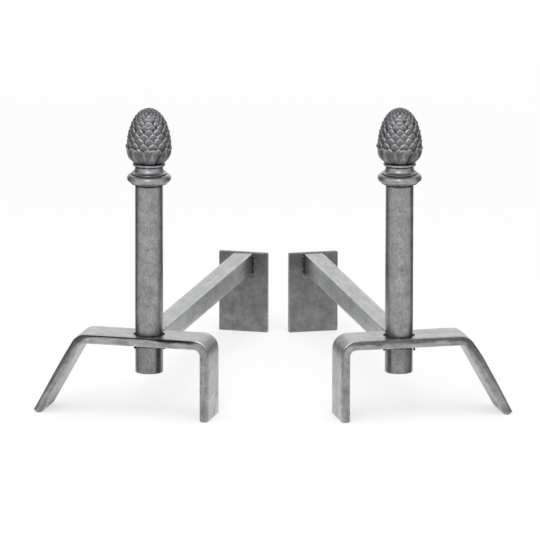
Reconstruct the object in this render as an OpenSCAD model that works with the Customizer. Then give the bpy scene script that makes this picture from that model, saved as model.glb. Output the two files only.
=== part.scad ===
// Pair of andirons (fire dogs) with pine cone finials, standing on a hearth.
// The two stands are mirror images of each other, bent by hand, so their legs reach out a little
// differently. They are toed in towards the back.
// X runs along the line of the posts, Y runs from the room towards the fire, Z is up.
// The origin is on the hearth, at the middle of the footprint.

/* [Pair on the hearth] */
// Clear distance between the two stands, where they come nearest
pair_gap = 25.5; // [5:0.5:150]
// Angle by which each log bar turns in towards the other one, in degrees
toe_in = 13.5; // [0:0.5:20]

/* [Post] */
// Diameter of the round post
post_d = 35.5; // [28:0.5:40]
// Height of the lower end of the left post above the hearth
post_foot_z = 56; // [40:0.5:75]
// Height of the upper end of the left post above the hearth
post_top_z = 299.5; // [220:0.5:420]
// Height by which the right post was welded in higher than the left one
right_post_lift = 1.75; // [0:0.25:5]
// Radius of the eased rims of the post
post_rim_r = 0.8; // [0.3:0.1:2]

/* [Front legs] */
// Width of the flat bar that the front legs are bent from
leg_w = 54; // [50:0.5:70]
// Thickness of that flat bar
leg_t = 11.4; // [8:0.2:14]
// Height of the top face of the arch above the hearth
arch_z = 105; // [100:0.5:130]
// Distance from the left post's axis to the outer face of its upright leg
left_upright_reach = 84.5; // [70:0.5:110]
// Distance from the right post's axis to the outer face of its upright leg
right_upright_reach = 81; // [70:0.5:110]
// Distance from the left post's axis to the outer face of its splayed leg, on the hearth
left_outer_reach = 147.5; // [130:0.5:180]
// Distance from the right post's axis to the outer face of its splayed leg, on the hearth
right_outer_reach = 145; // [130:0.5:180]
// Angle of the splayed leg from the vertical, in degrees
splay = 29; // [15:0.5:32]
// Inner radius of the two bends
bend_r = 8; // [4:0.5:12]
// Radius of the worn corners of the soles
sole_r = 2; // [0.5:0.25:3]
// Radial play of the post in the hole of the arch, under the welds
hole_play = 0.2; // [0.1:0.05:0.5]

/* [Log bar] */
// Side of the square log bar
bar_side = 25.4; // [18:0.2:28]
// Distance from the post axis to the front face of the back plate
bar_reach = 482.5; // [300:0.5:600]
// Height of the log bar's top face above the arch's top face
bar_proud = 1; // [0:0.25:3]
// Radius of the long edges of the log bar
bar_edge_r = 1.2; // [0.5:0.1:3]

/* [Back plate] */
// Width of the back plate
plate_w = 66; // [45:0.5:70]
// Thickness of the back plate
plate_t = 6.4; // [4:0.2:12]
// Radius of the corners of the back plate
plate_corner_r = 1.6; // [0.5:0.1:5]
// Height of the back plate's top above the log bar's top face
plate_proud = 1; // [0:0.25:3]

/* [Finial base] */
// Height of the turned finial base
base_h = 28.6; // [27:0.1:36]
// Radius of the foot ring that stands on the post
base_foot_r = 17.3; // [12:0.1:18]
// Height of the foot ring
base_foot_h = 0.9; // [0.5:0.1:1.5]
// Radius of the thin lips below and above the large ring
base_lip_r = 22.9; // [21:0.1:25]
// Height of the lower lip
base_lip_h = 2.7; // [2:0.1:3.5]
// Radius of the large ring
base_ring_r = 28.1; // [26:0.1:32]
// Height of the large ring
base_ring_h = 10.8; // [9:0.1:12]
// Height of the upper lip
base_upper_lip_h = 2.3; // [1.5:0.1:3]
// Radius of the neck
base_neck_r = 18; // [14:0.1:19.5]
// Radius of the flange under the cone
base_flange_r = 20.8; // [20.5:0.1:24]
// Thickness of that flange at its edge
base_flange_h = 3.4; // [2.5:0.1:4.5]

/* [Pine cone] */
// Height of the pine cone above its base
cone_h = 71.5; // [55:0.5:100]
// Largest radius of the pine cone, at the tips of its scales
cone_r = 29.2; // [25:0.1:36]
// Height of the widest place above the base
cone_widest_z = 16; // [10:0.5:30]
// Radius at which the cone leaves its flat underside
cone_foot_r = 18.5; // [16:0.1:20]
// Number of scales around the cone
scales_around = 13; // [9:1:16]
// Number of rows that the height is divided into
scale_rows = 15; // [10:1:17]
// Height of a scale's lip above the scale behind it
scale_lip = 1.3; // [0.5:0.1:1.6]
// Height of the keel along the middle of a scale
scale_keel = 0.7; // [0:0.1:1]

/* [Finial stud] */
// Diameter of the threaded stud, over its thread
stud_d = 12; // [8:0.5:14]
// Length of the stud held in the post
stud_in_post = 24; // [16:1:40]
// Length of thread that holds the pine cone
stud_in_cone = 22; // [20:1:40]
// Radial play of the thread in the post and in the cone
thread_play = 0.05; // [0.02:0.01:0.1]
// Radial play of the stud in the finial base
base_bore_play = 0.5; // [0.3:0.1:1]
// Depth of the tapped holes past the ends of the stud
tap_spare = 3; // [1:0.5:6]
// Bevel at the ends of the stud
stud_bevel = 1.2; // [0.5:0.1:2]

/* [Welds] */
// Leg of the bead round the post, on the arch
top_bead = 2.2; // [1:0.1:4]
// Leg of the bead round the post, under the arch
under_bead = 2.4; // [1:0.1:4]
// Leg of the beads that hold the log bar
bar_bead = 4; // [2:0.1:5]

/* [Hidden] */
$fn = 96;
arc_steps = 8;      // straight steps in each rounded corner of an outline
overrun = 1;        // length by which a cut runs past the face that it opens
bead_flat_share = 0.8;   // how far along one leg a bead's crown stands, as a share of the leg
bead_rise_share = 0.45;  // how far it stands off the other leg
post_r = post_d / 2;
stud_r = stud_d / 2;
bar_top_z = arch_z + bar_proud;
plate_top_z = bar_top_z + plate_proud;
bar_half = bar_side / 2;
leg_half = leg_w / 2;
tan_splay = tan(splay);
right_top_z = post_top_z + right_post_lift;
ring_side_angle = 60;    // angle to which the round side of the base's large ring runs, each way

// The stands come nearest at their back plates, or at their upright legs where the toe-in is small.
plate_side = plate_w / 2 * cos(toe_in) + (bar_reach + plate_t) * sin(toe_in);
left_leg_side = left_upright_reach * cos(toe_in) + leg_half * sin(toe_in);
right_leg_side = right_upright_reach * cos(toe_in) + leg_half * sin(toe_in);
post_gap = pair_gap + max(2 * plate_side, left_leg_side + right_leg_side);

// The footprint runs from the splayed leg of one stand to that of the other, and from the front
// corner of an upright leg to the rear corner of a plate.
centre_x = (right_outer_reach - left_outer_reach) * cos(toe_in) / 2;
front_y = -max(left_upright_reach, right_upright_reach) * sin(toe_in) - leg_half * cos(toe_in);
back_y = (bar_reach + plate_t) * cos(toe_in) + plate_w / 2 * sin(toe_in);
centre_y = (front_y + back_y) / 2;

// Colours
bare_steel = "#8b8d8c";
bar_steel = "#a3a6a7";
plate_steel = "#6f706f";
post_steel = "#7c7d7b";
cast_grey = "#76736f";
turned_grey = "#84868a";
bead_grey = "#4a4744";

// A point list with round corners. Each corner is [x, y, radius].
function corner_xy(c) = [c[0], c[1]];
function unit(v) = v / norm(v);
function polar(r, a) = r * [cos(a), sin(a)];
function rounded_corner(before, corner, after) =
    let (
        p = corner_xy(corner),
        u = unit(corner_xy(before) - p),
        v = unit(corner_xy(after) - p),
        half = acos(max(-1, min(1, u * v))) / 2,
        centre = p + unit(u + v) * corner[2] / sin(half),
        from = p + u * corner[2] / tan(half) - centre,
        to = p + v * corner[2] / tan(half) - centre,
        start = atan2(from[1], from[0]),
        turn_raw = atan2(to[1], to[0]) - start,
        turn = turn_raw > 180 ? turn_raw - 360 : turn_raw < -180 ? turn_raw + 360 : turn_raw
    )
    [for (i = [0:arc_steps]) centre + polar(corner[2], start + turn * i / arc_steps)];
function rounded(corners) =
    let (n = len(corners))
    [for (i = [0:n - 1]) each rounded_corner(corners[(i + n - 1) % n], corners[i], corners[(i + 1) % n])];

// Points along an arc, in steps.
function arc(centre, r, from, to) =
    [for (i = [0:arc_steps]) centre + polar(r, from + (to - from) * i / arc_steps)];

// Places a stand: its own frame has the post axis at the origin and the log bar along +Y.
module left_stand() {
    on_post(-1, 0)
        rotate([0, 0, -toe_in])
            children();
}

module right_stand() {
    on_post(1, 0)
        mirror([1, 0, 0])
            rotate([0, 0, -toe_in])
                children();
}

// Places a finial without turning it: both pine cones face the room the same way.
module on_post(side, height) {
    translate([side * post_gap / 2 - centre_x, -centre_y, height])
        children();
}

// One flat bar bent into an arch: an upright leg, a flat top and a splayed leg.
module front_legs(upright_reach, outer_reach) {
    face = leg_t / cos(splay);
    outer_r = bend_r + leg_t;
    shoulder_x = -outer_reach + arch_z * tan_splay;
    armpit_x = -outer_reach + face + (arch_z - leg_t) * tan_splay;
    corners = [
        [upright_reach, 0, sole_r],
        [upright_reach, arch_z, outer_r],
        [shoulder_x, arch_z, outer_r],
        [-outer_reach, 0, sole_r],
        [-outer_reach + face, 0, sole_r],
        [armpit_x, arch_z - leg_t, bend_r],
        [upright_reach - leg_t, arch_z - leg_t, bend_r],
        [upright_reach - leg_t, 0, sole_r]
    ];
    color(bare_steel)
        difference() {
            translate([0, leg_half, 0])
                rotate([90, 0, 0])
                    linear_extrude(leg_w)
                        polygon(rounded(corners));
            translate([0, 0, arch_z - leg_t - overrun])
                cylinder(r = post_r + hole_play, h = leg_t + 2 * overrun);
        }
}

// A round bar that passes through the arch, tapped at its top for the finial stud.
module post(lift) {
    length = post_top_z - post_foot_z;
    tap_depth = stud_in_post + tap_spare;
    color(post_steel)
        translate([0, 0, post_foot_z + lift])
            difference() {
                rotate_extrude()
                    polygon(concat(
                        [[0, 0]],
                        arc([post_r - post_rim_r, post_rim_r], post_rim_r, -90, 0),
                        arc([post_r - post_rim_r, length - post_rim_r], post_rim_r, 0, 90),
                        [[0, length]]
                    ));
                translate([0, 0, length - tap_depth])
                    cylinder(r = stud_r + thread_play, h = tap_depth + overrun);
            }
}

// A square bar that butts on the rear edge of the arch and on the back plate.
module log_bar() {
    color(bar_steel)
        translate([0, bar_reach, bar_top_z - bar_half])
            rotate([90, 0, 0])
                linear_extrude(bar_reach - leg_half)
                    polygon(rounded([
                        [bar_half, bar_half, bar_edge_r],
                        [-bar_half, bar_half, bar_edge_r],
                        [-bar_half, -bar_half, bar_edge_r],
                        [bar_half, -bar_half, bar_edge_r]
                    ]));
}

// The rear foot: a plate that stands on the hearth, a little proud of the log bar at its top.
module back_plate() {
    color(plate_steel)
        translate([0, bar_reach + plate_t, 0])
            rotate([90, 0, 0])
                linear_extrude(plate_t)
                    polygon(rounded([
                        [plate_w / 2, 0, plate_corner_r],
                        [plate_w / 2, plate_top_z, plate_corner_r],
                        [-plate_w / 2, plate_top_z, plate_corner_r],
                        [-plate_w / 2, 0, plate_corner_r]
                    ]));
}

// Turned base of the finial: foot ring, lip, large ring, lip, concave neck and flange.
module finial_base() {
    lip_end_r = base_lip_h / 2;
    ring_half = base_ring_h / 2;
    ring_z = base_foot_h + base_lip_h + ring_half;
    upper_lip_z = ring_z + ring_half;
    upper_lip_end_r = base_upper_lip_h / 2;
    hollow_z = upper_lip_z + base_upper_lip_h;
    hollow_r = base_lip_r - upper_lip_end_r - base_neck_r;
    flange_end_r = base_flange_h / 2;
    bore_r = stud_r + base_bore_play;
    color(turned_grey)
        rotate_extrude()
            polygon(concat(
                [[bore_r, 0], [base_foot_r, 0], [base_foot_r, base_foot_h]],
                arc([base_lip_r - lip_end_r, base_foot_h + lip_end_r], lip_end_r, -90, 90),
                arc([base_ring_r - ring_half, ring_z], ring_half, -ring_side_angle, ring_side_angle),
                arc([base_lip_r - upper_lip_end_r, upper_lip_z + upper_lip_end_r], upper_lip_end_r, -90, 90),
                arc([base_neck_r + hollow_r, hollow_z + hollow_r], hollow_r, 270, 180),
                arc([base_flange_r - flange_end_r, base_h - flange_end_r], flange_end_r, -90, 90),
                [[bore_r, base_h]]
            ));
}

// The threaded stud that joins the finial to the post, seated at the top of the post.
module finial_stud() {
    length = stud_in_post + base_h + stud_in_cone;
    color(bare_steel)
        translate([0, 0, -stud_in_post])
            rotate_extrude()
                polygon([
                    [0, 0],
                    [stud_r - stud_bevel, 0],
                    [stud_r, stud_bevel],
                    [stud_r, length - stud_bevel],
                    [stud_r - stud_bevel, length],
                    [0, length]
                ]);
}

// The cone's outline. Its place runs from 0 at the underside to 1 at the top.
belly_power = 2.1;
crown_power = 2.4;
rows_ahead_share = 0.3;     // how far the first row's tips stand above the row line, in rows
tip_span_share = 0.8;       // height from the notch between two scales to their tips, in rows
tip_power = 1.6;            // shape of a scale's tip: 1 is a point, 2 is round
step_share = 0.06;          // distance over which a lip falls to the next scale, in rows
small_lip_share = 0.4;      // how much of the lip is left where the cone narrows to nothing
seat_edge_share = 0.94;     // radius of the flat underside, as a share of the foot radius
columns_per_scale = 4;
columns = scales_around * columns_per_scale;

function outline_z(place) = cone_h * sin(90 * place);
function outline_r(z) =
    z >= cone_widest_z
    ? cone_r * sqrt(max(0, 1 - pow((z - cone_widest_z) / (cone_h - cone_widest_z), crown_power)))
    : cone_r * sqrt(1 - (1 - pow(cone_foot_r / cone_r, 2)) * pow(1 - z / cone_widest_z, belly_power));
function outline(place) = [outline_r(outline_z(place)), outline_z(place)];
function outward(place) =
    let (
        slope_step = step_share / scale_rows / 4,
        d = outline(min(1, place + slope_step)) - outline(place - slope_step)
    )
    unit([d[1], -d[0]]);
function lip_at(place) =
    scale_lip * (small_lip_share + (1 - small_lip_share) * outline(place)[0] / cone_r);

// Where a column stands across a scale of a row: 0 at the tip, 0.5 at the notch.
function across(row, column) =
    let (turn = column / columns_per_scale + (row % 2 == 0 ? 0.5 : 0))
    abs(turn - floor(turn + 0.5));
function tip_line(row, column) =
    (row + rows_ahead_share - tip_span_share * pow(2 * across(row, column), tip_power)) / scale_rows;
function sunk(place, depth) = outline(place) - depth * outward(place);
function ring_point(rz, column) =
    let (a = 360 * column / columns - 90)
    [rz[0] * cos(a), rz[0] * sin(a), rz[1]];

function lip_ring(row) =
    [for (c = [0:columns - 1]) ring_point(outline(tip_line(row, c)), c)];
function step_ring(row) =
    [for (c = [0:columns - 1])
        let (place = tip_line(row, c) + step_share / scale_rows)
        ring_point(sunk(place, lip_at(place)), c)];
function body_ring(row) =
    [for (c = [0:columns - 1])
        let (
            low = row > 1 ? tip_line(row - 1, c) + step_share / scale_rows : 0,
            place = (low + tip_line(row, c)) / 2,
            keel = scale_keel * (1 - 2 * across(row, c)) * lip_at(place) / scale_lip
        )
        ring_point(sunk(place, lip_at(place) / 2 - keel), c)];

module pine_cone() {
    last_row = scale_rows - 2;
    rings = [
        [for (c = [0:columns - 1]) ring_point([cone_foot_r * seat_edge_share, 0], c)],
        for (row = [1:last_row]) each [body_ring(row), lip_ring(row), step_ring(row)]
    ];
    apex = len(rings) * columns;
    points = [for (ring = rings) each ring, [0, 0, cone_h - scale_lip * small_lip_share]];
    sides = [
        for (k = [0:len(rings) - 2], c = [0:columns - 1])
            let (
                d = (c + 1) % columns,
                a = k * columns + c,
                b = k * columns + d
            )
            each [[a, a + columns, b + columns], [a, b + columns, b]]
    ];
    top = [for (c = [0:columns - 1]) [apex - columns + c, apex, apex - columns + (c + 1) % columns]];
    underside = [[for (c = [0:columns - 1]) c]];
    color(cast_grey)
        difference() {
            polyhedron(points, concat(sides, top, underside));
            translate([0, 0, -overrun])
                cylinder(r = stud_r + thread_play, h = stud_in_cone + tap_spare + overrun);
        }
}

// The section of a weld bead in the corner of two faces, with a full crown.
function bead_section(leg) = [
    [0, 0],
    [leg, 0],
    [leg * bead_flat_share, leg * bead_rise_share],
    [leg * bead_rise_share, leg * bead_flat_share],
    [0, leg]
];

module bead_round_post(leg) {
    color(bead_grey)
        rotate_extrude()
            translate([post_r, 0])
                polygon(bead_section(leg));
}

// A straight bead along X that lies in the corner above the XY plane and in front of the XZ plane.
module straight_bead(leg, length) {
    color(bead_grey)
        translate([-length / 2, 0, 0])
            rotate([90, 0, 90])
                linear_extrude(length)
                    polygon(bead_section(leg));
}

// Beads on both sides of the log bar, on the arch's rear edge, and one under the arch.
module log_bar_weld() {
    for (side = [-1, 1])
        translate([side * bar_half, leg_half, arch_z - leg_t / 2])
            rotate([0, 90, 0])
                mirror([0, 0, side < 0 ? 1 : 0])
                    straight_bead(bar_bead, leg_t);
    translate([0, leg_half, arch_z - leg_t])
        rotate([180, 0, 0])
            straight_bead(bar_bead, bar_side);
}

// One run of weld down one side of the log bar, under it and up the other side.
module back_plate_weld() {
    side_h = bar_side - bar_edge_r;
    under_z = bar_top_z - bar_side;
    for (side = [-1, 1])
        translate([side * bar_half, bar_reach, under_z + side_h / 2])
            rotate([0, 90, 180])
                mirror([0, 0, side > 0 ? 1 : 0])
                    straight_bead(bar_bead, side_h);
    translate([0, bar_reach, under_z])
        rotate([180, 0, 0])
            straight_bead(bar_bead, bar_side + 2 * bar_bead);
}

left_stand() front_legs(left_upright_reach, left_outer_reach);  // left_front_legs
left_stand() post(0);  // left_post
left_stand() log_bar();  // left_log_bar
left_stand() back_plate();  // left_back_plate
on_post(-1, post_top_z) finial_base();  // left_finial_base
on_post(-1, post_top_z + base_h) pine_cone();  // left_pine_cone
on_post(-1, post_top_z) finial_stud();  // left_finial_stud
on_post(-1, arch_z) bead_round_post(top_bead);  // left_post_top_weld
on_post(-1, arch_z - leg_t) mirror([0, 0, 1]) bead_round_post(under_bead);  // left_post_under_weld
left_stand() log_bar_weld();  // left_log_bar_weld
left_stand() back_plate_weld();  // left_back_plate_weld
right_stand() front_legs(right_upright_reach, right_outer_reach);  // right_front_legs
right_stand() post(right_post_lift);  // right_post
right_stand() log_bar();  // right_log_bar
right_stand() back_plate();  // right_back_plate
on_post(1, right_top_z) finial_base();  // right_finial_base
on_post(1, right_top_z + base_h) pine_cone();  // right_pine_cone
on_post(1, right_top_z) finial_stud();  // right_finial_stud
on_post(1, arch_z) bead_round_post(top_bead);  // right_post_top_weld
on_post(1, arch_z - leg_t) mirror([0, 0, 1]) bead_round_post(under_bead);  // right_post_under_weld
right_stand() log_bar_weld();  // right_log_bar_weld
right_stand() back_plate_weld();  // right_back_plate_weld
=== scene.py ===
import math
import random

import bmesh
import bpy
from mathutils import Matrix, Vector, noise


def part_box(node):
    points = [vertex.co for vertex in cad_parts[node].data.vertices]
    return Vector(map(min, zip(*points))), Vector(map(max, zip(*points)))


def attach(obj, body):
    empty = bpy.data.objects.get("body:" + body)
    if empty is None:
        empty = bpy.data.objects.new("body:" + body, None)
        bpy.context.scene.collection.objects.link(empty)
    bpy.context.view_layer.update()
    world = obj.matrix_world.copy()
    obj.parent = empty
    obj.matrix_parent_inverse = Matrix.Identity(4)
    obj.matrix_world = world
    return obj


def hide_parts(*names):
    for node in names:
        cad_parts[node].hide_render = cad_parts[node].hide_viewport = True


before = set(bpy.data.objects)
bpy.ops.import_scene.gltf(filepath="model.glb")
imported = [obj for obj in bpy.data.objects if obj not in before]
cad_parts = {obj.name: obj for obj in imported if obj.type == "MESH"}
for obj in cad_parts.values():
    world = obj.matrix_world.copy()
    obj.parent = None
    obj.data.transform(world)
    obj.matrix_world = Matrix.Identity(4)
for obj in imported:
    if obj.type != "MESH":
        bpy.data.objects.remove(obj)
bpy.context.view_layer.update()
scene = bpy.context.scene
mm = 0.001
print("frame loaded")


# helpers
def newObject(name, data):
    obj = bpy.data.objects.new(name, data)
    scene.collection.objects.link(obj)
    return obj


def newMesh(name, bm):
    mesh = bpy.data.meshes.new(name)
    bm.to_mesh(mesh)
    bm.free()
    return mesh


def srgb(code):
    parts = [int(code[i:i + 2], 16) / 255 for i in (1, 3, 5)]
    return tuple(c / 12.92 if c <= 0.04045 else ((c + 0.055) / 1.055) ** 2.4 for c in parts) + (1.0,)


# The value at a place on a list of (place, value).
def between(stops, at):
    for (a, va), (b, vb) in zip(stops, stops[1:]):
        if at <= b:
            return va + (vb - va) * max(0.0, at - a) / (b - a)
    return stops[-1][1]


def smooth(low, high, at):
    f = max(0.0, min(1.0, (at - low) / (high - low)))
    return f * f * (3 - 2 * f)


def hump(middle, wide, at):
    return math.exp(-((at - middle) / wide) ** 2)


def lump(x, y, z):
    return noise.noise(Vector((x, y, z)))


def wave(p, size, seed):
    return lump(p[0] / size + seed, p[1] / size - seed, p[2] / size + seed * 0.5)


# Points on an arc about a middle, from one angle to another in degrees.
def arcPoints(middle, radius, start, end, steps):
    angles = [math.radians(start + (end - start) * i / steps) for i in range(steps + 1)]
    return [(middle[0] + radius * math.cos(a), middle[1] + radius * math.sin(a)) for a in angles]


# camera
# A long lens from far away, so the picture has next to no perspective. Angles are in degrees.
camera = {
    "lens": 666.67, "sensor": 36.0, "distance": 12.7551, "clip": (1.0, 60.0),
    "elevation": 12.734, "turn": 0.706, "roll": 0.108, "aim": (-0.004555, -0.178455, 0.180049),
}


def makeCamera():
    rise, turn, roll = (math.radians(camera[key]) for key in ("elevation", "turn", "roll"))
    data = bpy.data.cameras.new("camera")
    data.lens, data.sensor_width = camera["lens"], camera["sensor"]
    data.clip_start, data.clip_end = camera["clip"]
    facing = (Matrix.Rotation(turn, 4, "Z") @ Matrix.Rotation(math.pi / 2 - rise, 4, "X")
              @ Matrix.Rotation(roll, 4, "Z"))
    scene.camera = newObject("camera", data)
    scene.camera.matrix_world = (
        Matrix.Translation(camera["aim"]) @ facing @ Matrix.Translation((0, 0, camera["distance"])))


makeCamera()
scene.view_settings.view_transform = "Standard"
print("camera made")


# materials
# Adds a node, with what goes into its sockets and its settings.
def addNode(tree, kind, inputs={}, **settings):
    node = tree.nodes.new(kind)
    for name, value in settings.items():
        setattr(node, name, value)
    for key, value in inputs.items():
        if isinstance(value, bpy.types.NodeSocket):
            tree.links.new(value, node.inputs[key])
        else:
            node.inputs[key].default_value = value
    return node


# The same for a node of which only the first output is used.
def link(tree, kind, inputs={}, **settings):
    return addNode(tree, kind, inputs, **settings).outputs[0]


def calc(tree, operation, a, b=0.0, c=0.0, clamp=False):
    return link(tree, "ShaderNodeMath", {0: a, 1: b, 2: c}, operation=operation, use_clamp=clamp)


def combine(tree, *parts):
    return link(tree, "ShaderNodeCombineXYZ", dict(enumerate(parts)))


def painted(tree, name, output="Fac"):
    return addNode(tree, "ShaderNodeAttribute", attribute_name=name, attribute_type="GEOMETRY").outputs[output]


def addNoise(tree, vector, size, detail, roughness, distortion=0.0):
    return addNode(tree, "ShaderNodeTexNoise", {
        "Vector": vector, "Scale": 1 / (size * mm), "Detail": detail, "Roughness": roughness,
        "Distortion": distortion}).outputs["Fac"]


def addRamp(tree, value, stops):
    node = addNode(tree, "ShaderNodeValToRGB", {0: value})
    elements = node.color_ramp.elements
    while len(elements) > 1:
        elements.remove(elements[-1])
    for i, (place, code) in enumerate(stops):
        element = elements.new(place) if i else elements[0]
        element.position, element.color = place, srgb(code)
    return node.outputs[0]


def mixColours(tree, share, first, second):
    return addNode(tree, "ShaderNodeMix", {0: share, 6: first, 7: second}, data_type="RGBA").outputs[2]


def newMaterial(name):
    mat = bpy.data.materials.new(name)
    mat.use_nodes = True
    mat.node_tree.nodes.clear()
    return mat, mat.node_tree


def addOutput(tree, kind, inputs):
    addNode(tree, "ShaderNodeOutputMaterial", {0: link(tree, kind, inputs)})


plainSteel = {
    "dark": "#8a8b8b", "mid": "#a0a2a3", "light": "#b4b6b8", "edge": "#d0d2d4", "scorched": "#6b5f52",
    # size in mm of each kind of patch, and its share in the tone
    "cloud": 14.0, "cloudShare": 0.45, "blotch": 6.0, "blotchShare": 0.25,
    "grain": 1.6, "grainShare": 0.2, "streak": 1.8, "streakShare": 0.1,
    "patchScale": (1.0, 1.0, 1.0), "streakScale": (1.0, 1.0, 0.08),
    "darkTo": 0.38, "lightFrom": 0.62,          # the tones that come out dark and light
    "wearGain": 1.4, "wearLoss": 0.2,           # how the blotches break up the worn edges
    "rough": 0.38, "roughSpread": 0.25, "bump": 0.25, "bumpDepth": 0.12, "dentDepth": 0.05,
    "coat": 0.12, "coatRough": 0.15,
    "flow": False,                              # whether the patches follow the bar round its bends
}


# Bare steel that was wire brushed and clear coated. It keeps its grey mill skin in clouds, and it is
# rubbed brighter along its edges, where painted glints add to the wear. Painted light and shade from the shade
# attribute scale its colour.
def steelMaterial(name, **changes):
    look = {**plainSteel, **changes}
    mat, tree = newMaterial(name)
    way = painted(tree, "flow", "Vector") if look["flow"] else addNode(
        tree, "ShaderNodeTexCoord").outputs["Object"]
    patch, stretch = (link(tree, "ShaderNodeMapping", {"Vector": way, "Scale": look[key]}, vector_type="POINT")
                      for key in ("patchScale", "streakScale"))
    cloud = addNoise(tree, patch, look["cloud"], 4.0, 0.6)
    blotch = addNoise(tree, patch, look["blotch"], 2.0, 0.5, 0.4)
    grain = addNoise(tree, patch, look["grain"], 2.0, 0.6)
    streak = addNoise(tree, stretch, look["streak"], 3.0, 0.6)
    parts = {"cloudShare": cloud, "blotchShare": blotch, "grainShare": grain, "streakShare": streak}
    total = sum(look[key] for key in parts)
    tone = 0.0
    for key, part in parts.items():
        tone = calc(tree, "MULTIPLY_ADD", part, look[key] / total, tone)
    bare = addRamp(tree, tone, [
        (look["darkTo"], look["dark"]), (0.5, look["mid"]), (look["lightFrom"], look["light"])])
    broken = calc(tree, "MULTIPLY_ADD", blotch, look["wearGain"], -look["wearLoss"])
    worn = calc(tree, "MULTIPLY", painted(tree, "wear"), broken, clamp=True)
    edged = mixColours(tree, worn, bare, srgb(look["edge"]))
    tinted = mixColours(tree, painted(tree, "scorch"), edged, srgb(look["scorched"]))
    # painted light and shade: the painted shade attribute scales the colour
    shaded = link(tree, "ShaderNodeVectorMath", {
        0: tinted, 3: calc(tree, "ADD", painted(tree, "shade"), 1.0)}, operation="SCALE")
    fine = link(tree, "ShaderNodeBump", {
        "Height": calc(tree, "ADD", grain, streak), "Strength": look["bump"], "Distance": look["bumpDepth"] * mm})
    broad = link(tree, "ShaderNodeBump", {
        "Height": blotch, "Strength": 1.0, "Distance": look["dentDepth"] * mm, "Normal": fine})
    addOutput(tree, "ShaderNodeBsdfPrincipled", {
        "Base Color": shaded, "Metallic": 1.0, "Normal": broad,
        "Roughness": calc(tree, "MULTIPLY_ADD", tone, look["roughSpread"], look["rough"] - look["roughSpread"] / 2),
        "Coat Weight": look["coat"], "Coat Roughness": look["coatRough"]})
    return mat


# Grey cast iron with painted shade in the hollows between the scales, and rubbed bright on their
# tips, which also paints their highlight. The casting's skin and its sand grain have sizes in mm. The
# stops colour the painted relief.
def castMaterial(name, look):
    mat, tree = newMaterial(name)
    coords = addNode(tree, "ShaderNodeTexCoord").outputs["Object"]
    skin = addNoise(tree, coords, look["skin"], 3.0, 0.6)
    sand = addNoise(tree, coords, look["sand"], 2.0, 0.7)
    level = calc(tree, "MULTIPLY_ADD", painted(tree, "relief"), look["reliefShare"], look["level"])
    uneven = calc(tree, "MULTIPLY", calc(tree, "SUBTRACT", skin, 0.5), look["unevenness"])
    height = calc(tree, "ADD", level, uneven)
    bump = link(tree, "ShaderNodeBump", {
        "Height": sand, "Strength": look["bump"], "Distance": look["bumpDepth"] * mm})
    addOutput(tree, "ShaderNodeBsdfPrincipled", {
        "Base Color": addRamp(tree, height, look["stops"]), "Metallic": 1.0, "Normal": bump,
        "Roughness": calc(tree, "MULTIPLY_ADD", height, -0.2, look["rough"] + 0.1)})
    return mat


finishes = {
    # flat bar, brushed along its length
    "leg_steel": steelMaterial(
        "brushedFlatBarSteel", dark="#767776", mid="#989998", light="#b9baba", cloud=18.0, flow=True,
        streakScale=(0.06, 1.0, 1.0), streak=2.2, streakShare=0.5),
    # round bar that still has its mill skin
    "post_steel": steelMaterial(
        "millSkinRoundBarSteel", dark="#7f7f7f", mid="#989898", light="#b0b0b0", streakScale=(1.0, 1.0, 0.06),
        grain=2.2, grainShare=0.5, rough=0.34),
    # square bar, brushed along its length
    "bar_steel": steelMaterial(
        "brushedSquareBarSteel", dark="#7b7d7e", mid="#979899", light="#b3b5b6", flow=True,
        patchScale=(0.3, 1.0, 1.0), streakScale=(0.04, 1.0, 1.0), streak=2.4, streakShare=0.3, blotchShare=0.35),
    # plate with a darker mill skin
    "plate_steel": steelMaterial(
        "darkMillSkinPlateSteel", dark="#606060", mid="#707070", light="#818181", edge="#b0b2b2",
        streakScale=(1.0, 1.0, 0.2), rough=0.45),
    # cast iron turned on a lathe, with painted shade in its grooves
    "turned_iron": castMaterial("turnedCastIron", {
        "skin": 5.0, "sand": 0.7, "unevenness": 0.8, "reliefShare": 0.5, "level": 0.58,
        "rough": 0.39, "bump": 0.3, "bumpDepth": 0.06,
        "stops": [(0.0, "#2e2c2b"), (0.3, "#7b7b7c"), (0.6, "#a3a4a6"), (1.0, "#bec0c3")]}),
    # cast iron as it came from the mould, rubbed on its raised parts, with painted shade in its hollows
    "cast_iron": castMaterial("scaledCastIron", {
        "skin": 4.0, "sand": 0.8, "unevenness": 0.3, "reliefShare": 1.0, "level": 0.0,
        "rough": 0.46, "bump": 0.35, "bumpDepth": 0.1,
        "stops": [(0.0, "#474546"), (0.3, "#6e6c6d"), (0.6, "#8b8a8b"), (1.0, "#adafb3")]}),
    # weld beads, black with scale but for their tops
    "weld_metal": castMaterial("scorchedWeldMetal", {
        "skin": 1.5, "sand": 0.5, "unevenness": 0.7, "reliefShare": 0.7, "level": 0.0,
        "rough": 0.5, "bump": 0.4, "bumpDepth": 0.1,
        "stops": [(0.0, "#151413"), (0.4, "#393634"), (0.75, "#6c6966"), (1.0, "#cfcfce")]}),
    # plain threaded rod
    "stud_steel": castMaterial("plainThreadedSteel", {
        "skin": 3.0, "sand": 0.5, "unevenness": 0.4, "reliefShare": 0.0, "level": 0.5,
        "rough": 0.3, "bump": 0.1, "bumpDepth": 0.03,
        "stops": [(0.0, "#7c7d7e"), (0.5, "#9a9b9c"), (1.0, "#b8babc")]}),
}
print("materials made")


# stands
# The frame gives each post's axis and the heights in mm of what stands on it. Each stand is toed in
# towards the back, as in the CAD, and the right one is mirrored.
pair = {"toeIn": 13.5, "rightSeed": 37.0}


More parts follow.
